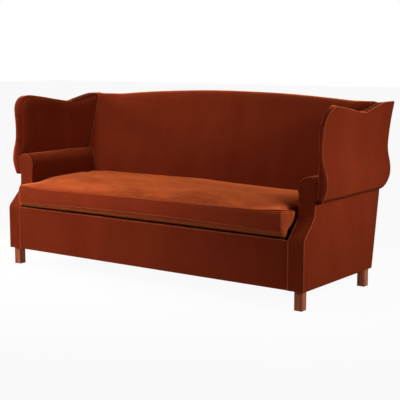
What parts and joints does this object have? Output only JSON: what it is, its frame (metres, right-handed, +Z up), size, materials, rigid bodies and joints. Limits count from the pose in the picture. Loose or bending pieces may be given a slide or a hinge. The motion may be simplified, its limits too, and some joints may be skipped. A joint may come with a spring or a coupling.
{
  "type": "high back settee",
  "caption": "Long velvet settee with a high crowned back, curved wings over rolled arms, one loose bench cushion and short square wooden legs.",
  "frame": {"origin": "on the floor, under the middle of the settee's bounding box", "axes": "+X along the seat to the right as seen from in front, +Y from the front to the back, +Z up"},
  "size_m": [2.1264, 0.9111, 1.019],
  "materials": {
    "velvet": "rust cotton velvet with a short directional pile",
    "dust_cloth": "black woven cambric",
    "webbing": "elastic upholstery webbing",
    "wadding": "felt and polyester wadding",
    "cushion_filling": "foam in a feather wrap",
    "zip_tape": "woven zip tape",
    "zip_metal": "plain brass",
    "steel": "zinc plated",
    "glide_plastic": "hard nylon",
    "walnut": "satin walnut stain",
    "dowel_beech": "unfinished beech",
    "frame_hardwood": "unfinished beech and birch ply"
  },
  "bodies": {
    "settee": {"arm_top_rails": "frame_hardwood", "back_padding": "wadding", "back_struts": "frame_hardwood", "back_tack_rail": "frame_hardwood", "back_top_rail": "frame_hardwood", "back_webbing": "webbing", "corner_blocks": "frame_hardwood", "cross_rails": "frame_hardwood", "deck_padding": "wadding", "dust_cover": "dust_cloth", "frame_dowels": "dowel_beech", "frame_screws": "steel", "front_border_cover": "velvet", "front_left_leg": "walnut", "front_rail": "frame_hardwood", "front_right_leg": "walnut", "inside_arm_panels": "frame_hardwood", "inside_back_cover": "velvet", "left_arm_facing": "velvet", "left_arm_front_post": "frame_hardwood", "left_arm_padding": "wadding", "left_back_post": "frame_hardwood", "left_inner_wing_padding": "wadding", "left_inside_arm_cover": "velvet", "left_inside_wing_cover": "velvet", "left_outside_arm_cover": "velvet", "left_outside_wing_cover": "velvet", "left_side_rail": "frame_hardwood", "left_wing_border": "velvet", "leg_bolts": "steel", "leg_glides": "glide_plastic", "leg_plate_screws": "steel", "leg_plates": "steel", "outside_back_cover": "velvet", "rear_left_leg": "walnut", "rear_rail": "frame_hardwood", "rear_right_leg": "walnut", "right_arm_facing": "velvet", "right_arm_front_post": "frame_hardwood", "right_arm_padding": "wadding", "right_back_post": "frame_hardwood", "right_inner_wing_padding": "wadding", "right_inside_arm_cover": "velvet", "right_inside_wing_cover": "velvet", "right_outside_arm_cover": "velvet", "right_outside_wing_cover": "velvet", "right_side_rail": "frame_hardwood", "right_wing_border": "velvet", "seat_deck_cover": "velvet", "seat_webbing": "webbing", "wing_front_uprights": "frame_hardwood", "wing_rear_uprights": "frame_hardwood", "wing_top_rails": "frame_hardwood"},
    "seat_cushion": {"cushion_core": "cushion_filling", "cushion_top_panel": "velvet", "cushion_lower_panel": "velvet", "cushion_boxing": "velvet", "cushion_zip": "zip_tape"},
    "cushion_zip_slider": {"zip_slider": "zip_metal"}
  },
  "joints": [
    {"name": "cushion_lift", "type": "slide", "parent": "settee", "child": "seat_cushion", "axis": [0, 0, 1], "range_m": [0, 0.6]},
    {"name": "zip_slide", "type": "slide", "parent": "seat_cushion", "child": "cushion_zip_slider", "axis": [-1, 0, 0], "range_m": [0, 1.48]}
  ]
}
